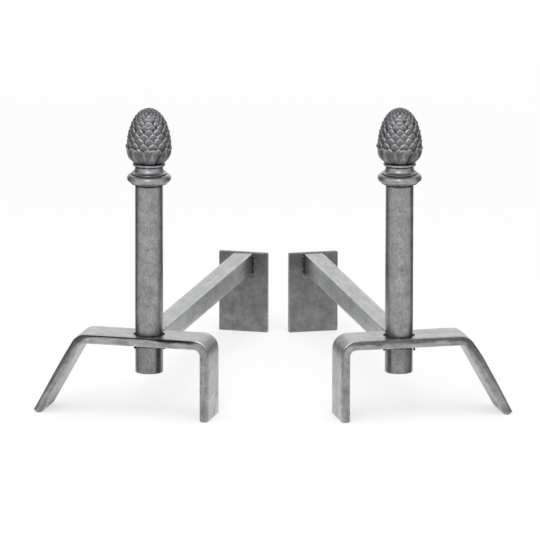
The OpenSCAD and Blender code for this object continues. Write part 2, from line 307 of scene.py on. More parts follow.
def standOf(side):
    name = "left" if side < 0 else "right"
    low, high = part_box(name + "_post")
    onAxis = Matrix.Translation(((low.x + high.x) / 2, (low.y + high.y) / 2, 0))
    flip = Matrix.Scale(-1, 4, (1, 0, 0)) if side > 0 else Matrix.Identity(4)
    return {
        "name": name, "onAxis": onAxis, "place": onAxis @ flip @ Matrix.Rotation(-math.radians(pair["toeIn"]), 4, "Z"),
        "foot": low.z / mm, "top": high.z / mm, "arch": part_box(name + "_front_legs")[1].z / mm,
        "seed": 0.0 if side < 0 else pair["rightSeed"],
    }


stands = [standOf(-1), standOf(1)]


# Turns a bmesh in the stand's own frame into the finished piece of a node, which rides on a body.
def finishPiece(bm, stand, node, slot, place="place", body="_stand", sharp=None, outward=True):
    bmesh.ops.transform(bm, matrix=stand[place], verts=bm.verts)
    if outward:
        bmesh.ops.recalc_face_normals(bm, faces=bm.faces)
    title = stand["name"] + "".join(word.capitalize() for word in node.split("_"))
    mesh = newMesh(title, bm)
    mesh.materials.clear()
    mesh.materials.append(finishes[slot])
    mesh.shade_smooth()
    if sharp:
        mesh.set_sharp_from_angle(angle=math.radians(sharp))
    obj = newObject(title, mesh)
    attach(obj, stand["name"] + body)
    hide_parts(stand["name"] + "_" + node)


# Fills the strips between rows of vertices.
def joinRows(bm, rows, closed):
    for a, b in zip(rows, rows[1:]):
        count = len(a)
        for i in range(count if closed else count - 1):
            j = (i + 1) % count
            bm.faces.new((a[i], a[j], b[j], b[i]))


def layersFor(bm, name):
    return bm.verts.layers.float_vector if name == "flow" else bm.verts.layers.float


# Joins loops of vertices of equal length into a closed skin. Each end gets a fan to its middle.
# paint names an attribute and gives its value for each vertex of each loop.
def skinLoops(loops, paint):
    bm = bmesh.new()
    for name in paint:
        layersFor(bm, name).new(name)
    rings = [[bm.verts.new(p) for p in loop] for loop in loops]
    count = len(rings[0])
    joinRows(bm, rings, True)
    ends = [(bm.verts.new(sum((v.co for v in ring), Vector()) / count), ring) for ring in (rings[0], rings[-1])]
    for centre, ring in ends:
        for j in range(count):
            bm.faces.new((ring[j], ring[(j + 1) % count], centre))
    for name, values in paint.items():
        layer = layersFor(bm, name)[name]
        for ring, row in zip(rings, values):
            for v, value in zip(ring, row):
                v[layer] = value
        for centre, ring in ends:
            centre[layer] = ring[0][layer]
    return bm


# Turns a closed outline of (radius, height) in mm about the Z axis, with float attributes to paint.
def turnOutline(outline, steps, *names):
    bm = bmesh.new()
    layers = [bm.verts.layers.float.new(name) for name in names]
    angles = [2 * math.pi * k / steps for k in range(steps)]
    rings = [[bm.verts.new(Vector((r * math.cos(a), r * math.sin(a), z)) * mm) for a in angles] for r, z in outline]
    joinRows(bm, rings + rings[:1], True)
    return bm, layers


# front legs
legs = {
    "width": 54.0, "thick": 11.4, "bendRadius": 8.0, "splay": 29.0, "soleRadius": 2.8,
    "step": 1.5,                # spacing of the sections along the bar
    "edge": 1.2,                # usual radius of the bar's edges
    "edgeMax": 5.5,             # deepest corner that the hammered bevel makes
    "frontEdge": 2.5,           # how far back from the front its paint goes
    "dish": 0.12, "nicks": 0.1,             # unevenness of the wide faces and of the edges
    # the splayed foot's sharp tip is ground back by so much, and up from so far in at this slope
    "tipTrim": 2.3, "tipFrom": 6.8, "tipSlope": 0.9,
    # For each stand: the reach of both legs, and how far the splayed leg's edges bulge outwards, by
    # height. The front upper edge was hammered down, and its bevel kept a dark skin that painted shade
    # darkens further. bevel is its depth and dark how dark it is with that painted shade, by share of the
    # arch from where the inner bend starts to where the outer one ends, and splayBevel is its depth by the
    # length down the splayed leg. line is the painted shade in the crease along its upper side, and the
    # last two are the painted shade on the splayed front and the painted light on the outer face at the
    # outer bend.
    "left": {
        "upright": 84.5, "outer": 147.5,
        "bulge": [(0, 0.0), (12, 0.1), (28, 0.4), (48, 0.8), (78, 0.9), (88, 0.4), (95, 0.0)],
        "bevel": [(0, 1.0), (0.08, 1.8), (0.13, 4.5), (0.3, 5.2), (0.38, 3.6), (0.45, 2.2), (0.6, 1.8),
                  (0.82, 1.8), (0.9, 3.2), (0.95, 6.2), (1, 7.6)],
        "dark": [(0, 0.55), (0.1, 0.6), (0.15, 0.85), (0.36, 0.92), (0.5, 0.85), (0.8, 0.8), (0.93, 0.7), (1, 0.66)],
        "splayBevel": [(0, 7.6), (25, 5.6), (60, 4.0), (110, 2.6)],
        "line": 0.25, "splayShade": 0.2, "bendLight": 0.3,
    },
    "right": {
        "upright": 81.0, "outer": 145.0,
        "bulge": [(0, 0.0), (10, 0.3), (28, 1.2), (48, 1.9), (78, 2.3), (88, 1.3), (95, 0.2), (98, 0.0)],
        "bevel": [(0, 1.5), (0.06, 3.0), (0.12, 5.2), (0.3, 5.8), (0.42, 4.8), (0.5, 4.8), (0.58, 5.4),
                  (0.8, 5.8), (0.92, 7.6), (1, 8.6)],
        "dark": [(0, 0.42), (0.1, 0.45), (0.2, 0.54), (0.5, 0.56), (0.9, 0.6), (1, 0.62)],
        "splayBevel": [(0, 8.6), (30, 6.0), (60, 3.8), (110, 2.0)],
        "line": 0.12, "splayShade": 0.1, "bendLight": 0.12,
    },
    # how much brighter or darker parts of the bar are: painted light and shade, smudge and heat tint
    "edgeWear": 0.7, "belowBevelLight": 0.34, "belowBevelTint": 0.3, "uprightFront": 0.1, "frontTip": 0.1,
    "rimWear": 0.6, "glintWear": 2.6, "glint": 1.1, "glintAt": 0.085,      # painted highlights on the edges; glintAt is a share of the arch
    "smudge": 0.3, "uprightOuter": 0.27, "postScorch": 0.5,
    "innerLight": 0.1, "innerShade": 0.3, "innerTip": 0.6,
}


# Stations along the bent bar. Each has its part of the bar, the middle of its section as x and z, the
# direction of its outer face, and how far both faces draw in where the sole is rounded.
def legStations(own, archTop):
    sole, splay = legs["soleRadius"], math.radians(legs["splay"])
    mid, reach = legs["thick"] / 2, legs["bendRadius"] + legs["thick"]
    bendZ = archTop - reach
    inner = own["upright"] - reach                      # where both bends have their centres
    outer = -own["outer"] + bendZ * math.tan(splay) + reach / math.cos(splay)

    def shares(length):
        n = max(2, round(length / legs["step"]))
        return [i / n for i in range(1, n)]

    def bend(part, x, start, turn):
        angles = [start + turn * f for f in [0.0] + shares(turn * (reach - mid)) + [1.0]]
        return [(part, x + (reach - mid) * math.cos(a), bendZ + (reach - mid) * math.sin(a),
                 math.cos(a), math.sin(a), 0.0) for a in angles]

    rounding = [math.pi / 8 * k for k in range(5)]
    soles = [(sole * (1 - math.sin(a)), sole * (1 - math.cos(a))) for a in rounding]
    x = own["upright"] - mid
    stations = [("upright", x, z, 1.0, 0.0, inset) for z, inset in reversed(soles)]
    stations += [("upright", x, sole + (bendZ - sole) * f, 1.0, 0.0, 0.0) for f in shares(bendZ - sole)]
    stations += bend("bend1", inner, 0.0, math.pi / 2)
    stations += [("top", inner + (outer - inner) * f, archTop - mid, 0.0, 1.0, 0.0) for f in shares(inner - outer)]
    stations += bend("bend2", outer, math.pi / 2, math.pi / 2 - splay)
    slope, up, down = math.tan(splay), math.sin(splay), math.cos(splay)
    x, z = outer - (reach - mid) * down, bendZ + (reach - mid) * up
    stations += [("outer", x - slope * z * f, z * (1 - f), -down - slope * up * f, up * (1 - f), 0.0)
                 for f in shares(bendZ / down) if (1 - f) * bendZ >= sole * 1.3]
    return stations + [("sole", x - slope * (z - low), low, -1 / down, 0.0, inset) for low, inset in soles]


# Where a point lies that is o mm out from the middle of a station's section.
def placeOn(station, o):
    _, x, z, dx, dz, inset = station
    o = math.copysign(max(0.0, abs(o) - inset), o)
    return x + dx * o, z + dz * o


# The bar's section as a loop of (offset, y), with how round it is at each point. Each edge has its own
# depth down the side and its own reach across the face.
def barSection(width, thick, edges, faceSteps, sideSteps, arcSteps=5):
    h, w = thick / 2, width / 2
    loop, rounds = [], []
    signs = [(1, -1), (1, 1), (-1, 1), (-1, -1)]

    def arcPoint(corner, k):
        (so, sy), (down, across) = signs[corner], edges[corner]
        a = math.pi / 2 * k / arcSteps
        onSide, onFace = (math.sin(a), math.cos(a)) if corner in (0, 2) else (math.cos(a), math.sin(a))
        return so * (h - down * (1 - onSide)), sy * (w - across * (1 - onFace))

    for corner in range(4):
        for k in range(arcSteps + 1):
            loop.append(arcPoint(corner, k))
            rounds.append(math.sin(math.pi * (k + 0.5) / (arcSteps + 1)))
        a, b = loop[-1], arcPoint((corner + 1) % 4, 0)
        steps = faceSteps if corner in (0, 2) else sideSteps
        for k in range(1, steps):
            f = k / steps
            loop.append((a[0] + (b[0] - a[0]) * f, a[1] + (b[1] - a[1]) * f))
            rounds.append(0.0)
    return loop, rounds


# Depth of the dark bevel and how dark it is, at a share of the arch. Before the arch it is a ragged
# rim on the upright leg, and past it the bevel goes on, out mm down the splayed leg.
def bevelAt(own, seed, share, out):
    if share < 0:
        fade = 1 + share / 0.65
        ragged = smooth(-0.2, 0.5, lump(share * 11 + seed, 1.0, 5.0))
        return 0.5 + 1.1 * ragged * fade, (0.1 + 0.3 * ragged) * max(0.4, fade)
    if share > 1:
        ragged = 0.3 * lump(share * 9 + seed, 3.0, 4.0)
        return between(own["splayBevel"], out) * (1 + ragged), 0.58 - 0.22 * smooth(0, 40, out)
    ragged = 0.35 * (lump(share * 12 + seed, 2.2, 0.7) + 0.5 * lump(share * 31 + seed, 9.1, 3.3))
    return between(own["bevel"], share) * (1 + ragged), between(own["dark"], share)


# Wear with painted glints, painted light and shade, and heat tint of one point of the bar, which
# is o mm out from the middle of its thickness and y mm back from the middle of its width. at says
# what holds for its whole section.
def legPaint(own, at, x, y, o, rounded):
    half, w, share = legs["thick"] / 2, legs["width"] / 2, at["share"]
    down = half - o
    wear, shade, scorch = rounded * legs["edgeWear"], 0.0, 0.0
    if y < legs["frontEdge"] - w:                   # the front face and its edges
        # the bevel's dark skin, deepened with painted shade, and painted shade in the crease above it
        band = 1 - smooth(at["deep"] * 0.7, at["deep"] * 1.15 + 0.3, down)
        line = hump(0.9, 0.6, down) * smooth(0.1, 0.16, share) * (1 - smooth(1.0, 1.1, share))
        shade -= at["dark"] * band + own["line"] * line
        wear *= 1 - band
        if 0 < share < 1:                           # below the bevel the front gets painted light and a warm tint
            underBevel = (1 - band) * smooth(0.02, 0.1, share) * (1 - smooth(0.9, 1.0, share))
            shade += legs["belowBevelLight"] * underBevel
            scorch += legs["belowBevelTint"] * underBevel
        if share < 0:
            shade -= legs["uprightFront"]
        if share > 1:
            shade -= own["splayShade"] * (1 - down / legs["thick"]) - 0.02
            # painted shade towards the foot
            shade -= legs["frontTip"] * smooth(18, 2, at["toEnd"])
        # the top front edge gets worn edge colour and a painted highlight
        rim = smooth(half - 0.7, half - 0.05, o) * smooth(legs["frontEdge"] - w, 0.3 - w, y)
        glint = hump(legs["glintAt"], 0.04, share)  # painted highlight on the inner bend's edge
        wear += rim * (legs["rimWear"] + legs["glintWear"] * glint)
        shade += rim * (at["dark"] * 0.8 + legs["glint"] * glint)
    elif o > half - 0.3:                            # the outer face: smudged where the bend begins
        shade -= legs["smudge"] * hump(0.005, 0.014, share) * (0.9 + 0.8 * lump(y / 9 + at["seed"], 3.0, 1.0))
        # painted light on the upright's outer face
        if share < 0:
            shade += legs["uprightOuter"] * smooth(0, -0.06, share)
        # painted light on the outer face at the outer bend
        shade += own["bendLight"] * smooth(0.84, 0.95, share) * smooth(1.15, 1.02, share)
        away = max(0.0, math.hypot(x, y) - post["radius"])
        scorch += legs["postScorch"] * math.exp(-away / 2.5) * smooth(0.12, 0.2, share)
    elif o < -half + 0.3 and share > 1:             # the inner face of the splayed leg
        # painted light high on the inner face, and painted shade down towards the foot
        shade += legs["innerLight"] - legs["innerShade"] * smooth(20, 85, at["out"])
        shade -= legs["innerTip"] * smooth(34, 3, at["toEnd"])
    return wear, shade, scorch


def makeFrontLegs(stand):
    own, seed, half = legs[stand["name"]], stand["seed"], legs["thick"] / 2
    stations = legStations(own, stand["arch"])
    travels = [0.0]
    for before, after in zip(stations, stations[1:]):
        travels.append(travels[-1] + math.dist(before[1:3], after[1:3]))
    first = min(t for t, station in zip(travels, stations) if station[0] == "bend1")
    last = max(t for t, station in zip(travels, stations) if station[0] == "bend2")
    loops, paint = [], {key: [] for key in ("wear", "shade", "scorch", "flow")}
    for station, travel in zip(stations, travels):
        share, out = (travel - first) / (last - first), travel - last
        deep, dark = bevelAt(own, seed, share, out)
        at = {"seed": seed, "share": share, "out": out, "toEnd": travels[-1] - travel, "deep": deep, "dark": dark}
        low = legs["edge"] * (1.0 + 0.3 * lump(travel / 9.0, 7.0 + seed, 1.0))
        edges = [(max(low, min(legs["edgeMax"], deep * 0.85)), legs["edge"] * 0.9)] + [(low, low)] * 3
        points, values = [], []
        for (o, y), r in zip(*barSection(legs["width"], legs["thick"], edges, 14, 10)):
            x, z = placeOn(station, o)
            if share > 0.8:                 # the edges bulge a little under the bend
                x -= between(own["bulge"], z) * (0.6 + 0.4 * o / half)
            if share > 1:                   # the tip was ground back and up
                x = math.copysign(min(abs(x), own["outer"] - legs["tipTrim"] + 0.16 * z), x)
                z += 0.94 * max(0.0, legs["tipSlope"] * (abs(x) - own["outer"] + legs["tipFrom"]) - z)
            p = Vector((x, y, z))
            if station[0] not in ("upright", "sole") or z > legs["soleRadius"] * 2:
                dish = legs["dish"] * wave((x, y, z), 14.0, seed) * max(0.0, 1.0 - r)
                if abs(o) > half - 0.01:    # the wide faces stay straight
                    p.x, p.z = placeOn(station, o + (dish if o > 0 else -dish))
                else:
                    p.y += (dish + legs["nicks"] * wave((x, y, z), 4.0, seed + 5) * r) * (1 if y > 0 else -1)
            points.append(p * mm)
            values.append((*legPaint(own, at, x, y, o, r), Vector((travel, y + seed, o)) * mm))
        loops.append(points)
        for key, row in zip(paint, zip(*values)):
            paint[key].append(row)
    finishPiece(skinLoops(loops, paint), stand, "front_legs", "leg_steel")


# post
post = {
    "radius": 17.75, "rim": 0.8, "bore": 5.3, "boreDepth": 27.0, "segments": 160, "sections": 2.0,
    "stubShade": 0.22, "stubBand": 0.3,         # painted shade on the end under the arch, and a painted dark reflection down its right
    # weld heat tint and painted shade above and below the arch: reach in mm, how scorched, how shaded
    "heatAbove": 3.2, "heatBelow": 2.2, "heatScorch": 0.75, "heatShade": 0.3,
    "footShade": 0.08,                          # painted shade just above the arch
    "joint": 1.2, "glint": 0.4, "glintWear": 1.6,           # its top edge: painted shade in the joint, and a painted highlight under it
}


def makePost(stand):
    foot, top, arch = stand["foot"], stand["top"], stand["arch"]
    r, rim, bore = post["radius"], post["rim"], post["bore"]
    length = top - foot - 2 * rim
    n = int(length / post["sections"])
    outline = [(0.4, foot), (r * 0.5, foot), (r - rim * 1.6, foot)]
    outline += arcPoints((r - rim, foot + rim), rim, -90, 0, 6)
    outline += [(r, foot + rim + length * i / n) for i in range(1, n)]
    outline += arcPoints((r - rim, top - rim), rim, 0, 90, 6)
    outline += [(r - rim * 1.6, top), (bore + 1.6, top), (bore + 0.8, top), (bore, top - 0.8)]
    outline += [(bore, top - post["boreDepth"]), (0.4, top - post["boreDepth"] - 2)]
    bm, (shade, scorch, wear) = turnOutline(outline, post["segments"], "shade", "scorch", "wear")
    for v in bm.verts:
        z = v.co.z / mm
        ragged = 1 + 0.6 * noise.noise(v.co * 90 + Vector((stand["seed"], 0, 0)))
        above, below = max(0.0, z - arch), max(0.0, arch - legs["thick"] - z)
        heat = hump(0, post["heatAbove"] * ragged, above) if z > arch else hump(0, post["heatBelow"] * ragged, below)
        # painted shade in the joint under the finial base, and a painted highlight just under the top edge
        joint, glint = smooth(top - 1.2, top - 0.6, z), smooth(top - 2.8, top - 1.6, z)
        v[scorch] = post["heatScorch"] * heat
        v[wear] = post["glintWear"] * glint * (1 - joint)
        v[shade] = post["glint"] * glint - post["joint"] * joint - post["heatShade"] * heat
        if z >= arch - 2:
            v[shade] -= post["footShade"] * smooth(30, 0, above)
            continue
        v[shade] -= post["stubShade"]
        if v.co.y < 0:                      # a painted dark reflection down the right of the stub's front
            side = v.co.x / mm / r
            v[shade] -= post["stubBand"] * smooth(0.3, 0.6, side) * (1 - smooth(0.8, 0.97, side))
    finishPiece(bm, stand, "post", "post_steel", "onAxis", sharp=50)


# finial base
base = {
    "bore": 6.5, "segments": 128, "height": 28.6,
    # radius and height of the turned outline, from the foot to the top
    "outline": [
        (16.2, 0.0), (16.6, 0.25), (16.7, 1.1), (18.2, 1.3), (20.6, 1.4), (22.3, 1.7), (23.2, 2.3), (23.5, 3.0),
        (23.6, 3.5), (24.3, 3.85), (25.3, 4.35), (26.4, 5.15), (27.3, 6.2), (27.9, 7.5), (28.1, 8.9),
        (27.9, 10.3), (27.3, 11.6), (26.4, 12.7), (25.1, 13.6), (23.7, 14.2), (22.3, 14.5), (21.9, 14.65),
        (22.1, 14.8), (22.6, 15.0), (22.8, 15.4), (22.7, 15.8), (22.2, 16.15), (21.3, 16.6), (20.3, 17.3),
        (19.45, 18.2), (18.8, 19.2), (18.35, 20.3), (18.0, 21.4), (17.8, 22.5), (17.5, 23.6), (17.5, 24.2),
        (17.9, 24.65), (18.7, 24.9), (19.6, 25.05), (20.2, 25.3), (20.65, 25.8), (20.85, 26.6), (20.75, 27.4),
        (20.3, 28.1), (19.5, 28.5), (18.6, 28.6)],
    # painted shade in the joint and the grooves: height, half its width and how dark it is
    "soot": [(0.6, 1.9, 1.4), (3.3, 0.8, 0.4), (14.6, 0.4, 0.8), (24.4, 1.0, 1.3)],
    "toolMarks": 0.16,          # how much the marks of the lathe differ in tone
}


# A curve through the points, with a few steps between each pair.
def smoothThrough(points, steps):
    out = []
    for i in range(len(points) - 1):
        p0, p1, p2, p3 = (points[min(max(j, 0), len(points) - 1)] for j in range(i - 1, i + 3))
        for t in (k / steps for k in range(steps)):
            out.append(tuple(0.5 * (2 * b + (c - a) * t + (2 * a - 5 * b + 4 * c - d) * t * t
                                    + (3 * b - a - 3 * c + d) * t ** 3)
                             for a, b, c, d in zip(p0, p1, p2, p3)))
    return out + [points[-1]]


def makeFinialBase(stand):
    outline = [(base["bore"], 0.0)] + smoothThrough(base["outline"], 4) + [(base["bore"], base["height"])]
    outline = [(r, z + stand["top"]) for r, z in outline]
    bm, (relief,) = turnOutline(outline, base["segments"], "relief")
    for v in bm.verts:
        z = v.co.z / mm - stand["top"]
        # painted shade in the joint and the grooves, over the lathe's tool marks
        soot = sum(dark * hump(at, wide, z) for at, wide, dark in base["soot"])
        v[relief] = base["toolMarks"] * lump(z * 2.1, stand["seed"], 0.5) - soot
    finishPiece(bm, stand, "finial_base", "turned_iron", "onAxis", "_finial_foot", sharp=60)


stud = {
    "major": 6.0, "minor": 5.05, "pitch": 1.75, "inPost": 24.0, "inCone": 22.0, "segments": 40, "stepsPerPitch": 6,
    "endTaper": 1.0, "endLength": 1.2,          # how much thinner it gets at both ends, and over what length
}


# The thread is a wave that climbs one pitch for each turn.
def makeStud(stand):
    length = stud["inPost"] + base["height"] + stud["inCone"]
    rows = int(length / stud["pitch"] * stud["stepsPerPitch"])
    loops = []
    for z in (length * i / rows for i in range(rows + 1)):
        ends = min(1.0, min(z, length - z) / stud["endLength"])
        loop = []
        for a in (2 * math.pi * k / stud["segments"] for k in range(stud["segments"])):
            phase = (z / stud["pitch"] - a / (2 * math.pi)) % 1.0
            crest = min(1.0, max(0.0, 1.25 - abs(2 * phase - 1) * 1.5))
            r = stud["minor"] - stud["endTaper"] * (1 - ends) + (stud["major"] - stud["minor"]) * crest * ends
            loop.append(Vector((r * math.cos(a), r * math.sin(a), stand["top"] - stud["inPost"] + z)) * mm)
        loops.append(loop)
    finishPiece(skinLoops(loops, {}), stand, "finial_stud", "stud_steel", "onAxis")


# log bar
logBar = {
    "side": 25.4, "reach": 482.5, "proud": 1.0, "edge": 1.0, "step": 5.0,
    # painted light makes the sides lighter than the rest, and painted shade darkens them over the
    # last mm before the back plate
    "sideLight": 0.18, "endShade": 0.34, "endLength": 50.0,
}


def makeLogBar(stand):
    side, end, start, seed = logBar["side"], logBar["reach"], legs["width"] / 2, stand["seed"]
    mid = stand["arch"] + logBar["proud"] - side / 2
    n = int((end - start) / logBar["step"])
    section, wear = barSection(side, side, [(logBar["edge"], logBar["edge"])] * 4, 6, 6, 4)
    loops, paint = [], {"wear": [], "shade": [], "flow": []}
    for y in (start + (end - start) * i / n for i in range(n + 1)):
        # painted light on the sides, and painted shade near the back plate
        light = logBar["sideLight"] - logBar["endShade"] * smooth(end - logBar["endLength"], end, y)
        loops.append([Vector((-x, y, mid + up)) * mm for up, x in section])
        paint["wear"].append(wear)
        paint["shade"].append([light if abs(x) > side / 2 - 0.01 else 0.0 for _, x in section])
        paint["flow"].append([Vector((y, x + seed, up)) * mm for up, x in section])
    finishPiece(skinLoops(loops, paint), stand, "log_bar", "bar_steel", sharp=50)


# back plate
plate = {
    "width": 66.0, "thick": 6.4, "corner": 1.6, "edge": 0.7, "proud": 1.0,
    "edgeWear": [0.0, 0.3, 0.9, 0.9, 0.3],      # along the section of its edge, from the face on
    "shades": [(0, 0.34), (0.3, 0.24), (0.7, 0.04), (1, -0.06)],        # painted light and shade by share of its height, brighter low down
}


def makeBackPlate(stand):
    w, t, c, e = (plate[key] for key in ("width", "thick", "corner", "edge"))
    top = stand["arch"] + logBar["proud"] + plate["proud"]

    def outline(inset):
        corners = [(w / 2 - c, top - c), (c - w / 2, top - c), (c - w / 2, c), (w / 2 - c, c)]
        return [p for k, corner in enumerate(corners)
                for p in arcPoints(corner, c - inset, 90 * k, 90 * k + 90, 6)]

    y0 = logBar["reach"]
    depths = [(y0, e + 0.5), (y0, e), (y0 + e * 0.13, e * 0.5), (y0 + e * 0.5, e * 0.13), (y0 + e, 0.0)]
    depths += [(2 * y0 + t - y, inset) for y, inset in reversed(depths)]
    loops = [[Vector((x, y, z)) * mm for x, z in outline(inset)] for y, inset in depths]
    wear = [[value] * len(loops[0]) for value in plate["edgeWear"] + plate["edgeWear"][::-1]]
    bm = skinLoops(loops, {"wear": wear})
    shade = bm.verts.layers.float.new("shade")
    # painted light and shade by height
    for v in bm.verts:
        v[shade] = between(plate["shades"], v.co.z / mm / top)
    finishPiece(bm, stand, "back_plate", "plate_steel", sharp=50)


for titles, makers in (
        ("front legs", [makeFrontLegs]), ("posts, finial bases and studs", [makePost, makeFinialBase, makeStud]),
        ("log bars and back plates", [makeLogBar, makeBackPlate])):
    for stand in stands:
        for make in makers:
            make(stand)
    print(titles, "made")

# pine cone
cone = {
    "height": 71.0, "radius": 29.1, "widest": 16.0, "foot": 18.5, "belly": 2.1, "crown": 2.3, "segments": 96,
    "rows": 15, "ahead": 0.3, "lip": 2.05, "bore": 5.3, "boreDepth": 25.0,
    "around": [(0.84, 13), (0.91, 8), (1.0, 5)],    # how many scales a row has, below these places
    "jitter": 0.075, "seed": 4,
    "button": 3.4,                  # radius of the plain tip between the last scales
    "sunk": 0.6,                    # how deep in lips the rims of scales and leaves lie in the body
    "keel": 0.72,                   # how far a scale falls from its keel to its sides, in lips
    "lean": 0.5, "pitch": 0.5, "skew": 0.12,        # how unevenly the scales stand
    "lumps": 0.35, "lumpSteps": (52.0, 30.0),       # height in mm of the casting's lumps, and how fine they are
    "curledTip": 23.3, "pointedTip": 21.5, "leafFoot": 0.8, "leafLip": 2.0, "leaves": 6,
    "curledAt": 0.036, "pointedAt": -0.04,          # where the two kinds of leaf stand, in turns from the front
    # painted light makes the casting brighter towards its top: share of the height and how bright
    "topLight": [(0, 0.85), (0.3, 0.88), (0.6, 1.0), (1, 1.45)],
    "lineSteps": 400, "bodySteps": 66,
}


def coneOutline(place):
    z = cone["height"] * math.sin(math.pi / 2 * min(1.0, place))
    if z >= cone["widest"]:
        share = (z - cone["widest"]) / (cone["height"] - cone["widest"])
        return cone["radius"] * math.sqrt(max(0.0, 1 - share ** cone["crown"])), z
    share = 1 - z / cone["widest"]
    return cone["radius"] * math.sqrt(
        1 - (1 - (cone["foot"] / cone["radius"]) ** 2) * share ** cone["belly"]), z


# The outline as a curve, and how far along it each place lies, as a share of its length.
coneLine = [coneOutline(i / cone["lineSteps"]) for i in range(cone["lineSteps"] + 1)]
coneRun = [0.0]
for before, after in zip(coneLine, coneLine[1:]):
    coneRun.append(coneRun[-1] + math.dist(before, after))


def runAt(place):
    f = max(0.0, min(1.0, place)) * cone["lineSteps"]
    i = min(cone["lineSteps"] - 1, int(f))
    return (coneRun[i] + (coneRun[i + 1] - coneRun[i]) * (f - i)) / coneRun[-1]


def placeAt(height):
    return math.asin(min(1.0, height / cone["height"])) * 2 / math.pi


# How high scales stand where the outline has this radius. They get smaller towards the top.
def lipShare(radius):
    return 0.35 + 0.65 * radius / cone["radius"]


# Makes a closed sheet from columns of (x, y, z, relief). Its rim is sunk, so one face closes its back.
def sheetMesh(name, columns):
    bm = bmesh.new()
    relief, across, down = (bm.verts.layers.float.new(key) for key in ("relief", "across", "down"))
    grid = []
    for column in columns:
        grid.append([bm.verts.new(point[:3]) for point in column])
        for v, (x, y, _, value) in zip(grid[-1], column):
            v[relief], v[across], v[down] = value, x, y
    joinRows(bm, grid, False)
    bm.faces.new([c[0] for c in grid] + grid[-1][1:] + [c[-1] for c in reversed(grid[:-1])] + grid[0][-2:0:-1])
    bmesh.ops.recalc_face_normals(bm, faces=bm.faces)
    return newMesh(name, bm)


# One scale laid flat: x in columns, y in rows down from its tip, z in lips above the cone's body.
def scaleMesh():
    columns, sunk = [], cone["sunk"]
    # how far below the tip, how high on the keel, and the relief there
    profile = [(0.0, -sunk, 0.0), (0.03, 0.2, 0.35), (0.09, 0.5, 0.8), (0.34, 0.96, 1.0), (0.46, 0.94, 0.7),
               (0.66, 0.66, 0.5)]
    for x in (-0.56, -0.51, -0.42, -0.27, -0.1, 0.0, 0.1, 0.27, 0.42, 0.51, 0.56):
        edge = -0.78 * abs(2 * x) ** 1.5
        covered = -1.0 - 0.78 * max(0.0, 1 - abs(2 * x)) ** 1.5     # where the row below hides it
        low = min(edge - 0.7, covered)
        side = min(1.0, max(0.0, (0.56 - abs(x)) / 0.12))
        keel = 1 - cone["keel"] * abs(2 * x) ** 0.9
        rows = [(edge - step, height * keel, relief * side) for step, height, relief in profile]
        rows += [(low + 0.05, 0.3 * keel, 0.3 * side), (low - 0.25, 0.5 - sunk, 0.0)]
        columns.append([(x, y, -sunk + (up + sunk) * side ** 0.5, relief) for y, up, relief in rows]
                       + [(x, -2.3, -sunk, 0.0)])
    return sheetMesh("coneScale", columns)


# The two kinds of leaf in the ring at the cone's foot. Both give how high the leaf stands, in lips, and
# its relief. The curled one has a rolled tip and a midrib that widens downwards.
def curledLeaf(x, y):
    bar = smooth(0.5, 0.42, abs(x)) * smooth(-0.135, -0.105, y)
    spread = 0.62 * max(0.0, -y - 0.24)
    rib = smooth(0.1 + spread, 0.03 + spread, abs(x)) * (1 - bar)
    wing = smooth(0.2, 0.5, abs(x)) * (1 - bar) * smooth(-0.9, -0.3, y)
    groove = (x > 0.04) * smooth(0.2, 0.06, x) * (1 - rib)
    high = 0.42 + 0.95 * bar + (0.5 + 0.3 * y) * rib + 0.12 * wing - 0.25 * groove
    return high + 0.3 * smooth(-0.75, -1.0, y), 0.35 + 0.6 * bar + 0.4 * rib + 0.15 * wing


# The pointed one is folded along a ridge that runs down from its tip to the right.
def pointedLeaf(x, y):
    across = x - 0.06 - 0.42 * max(0.0, -y - 0.04) ** 0.8
    ridge = hump(0, 0.055, across) * smooth(-0.72, -0.35, y)
    left = smooth(0.0, -0.5, across)
    right = (across > 0) * smooth(0.0, 0.14, across)
    hollow = hump(-0.12, 0.16, x) * hump(-0.26, 0.07, y)
    second = hump(0, 0.05, x + 0.2 + 0.35 * (y + 0.4)) * smooth(-0.3, -0.45, y) * smooth(-0.95, -0.7, y)
    high = 0.95 + 0.5 * ridge - 0.3 * left - 0.45 * right - 0.35 * hollow + 0.22 * second
    return high, 0.5 + 0.5 * ridge - 0.3 * hollow + 0.25 * second - 0.1 * left


def leafMesh(leaf, point):
    columns, sunk = [], cone["sunk"]
    halfXs = (0.03, 0.06, 0.1, 0.16, 0.24, 0.32, 0.4, 0.47, 0.53, 0.56)
    for x in [-x for x in reversed(halfXs)] + [0.0, *halfXs]:
        side = smooth(0.56, 0.49, abs(x))
        edge = -point * abs(2 * x) ** 1.5
        column = [(x, edge, -sunk, 0.0)]
        for y in (0.004, 0.012, 0.035, 0.07, 0.1, 0.125, 0.155, 0.2, 0.26, 0.33, 0.4, 0.48, 0.57, 0.67, 0.78, 0.9,
                  0.98):
            high, relief = leaf(x, -y)
            high *= smooth(-0.006, 0.03, y) * 0.5 + 0.5
            column.append((x, edge * (1 - y) - y, -sunk + (high + sunk) * side ** 0.5,
                           max(0.0, min(1.0, relief)) * side))
        columns.append(column + [(x, -1.04, -sunk, 0.0)])
    return sheetMesh("coneLeaf", columns)


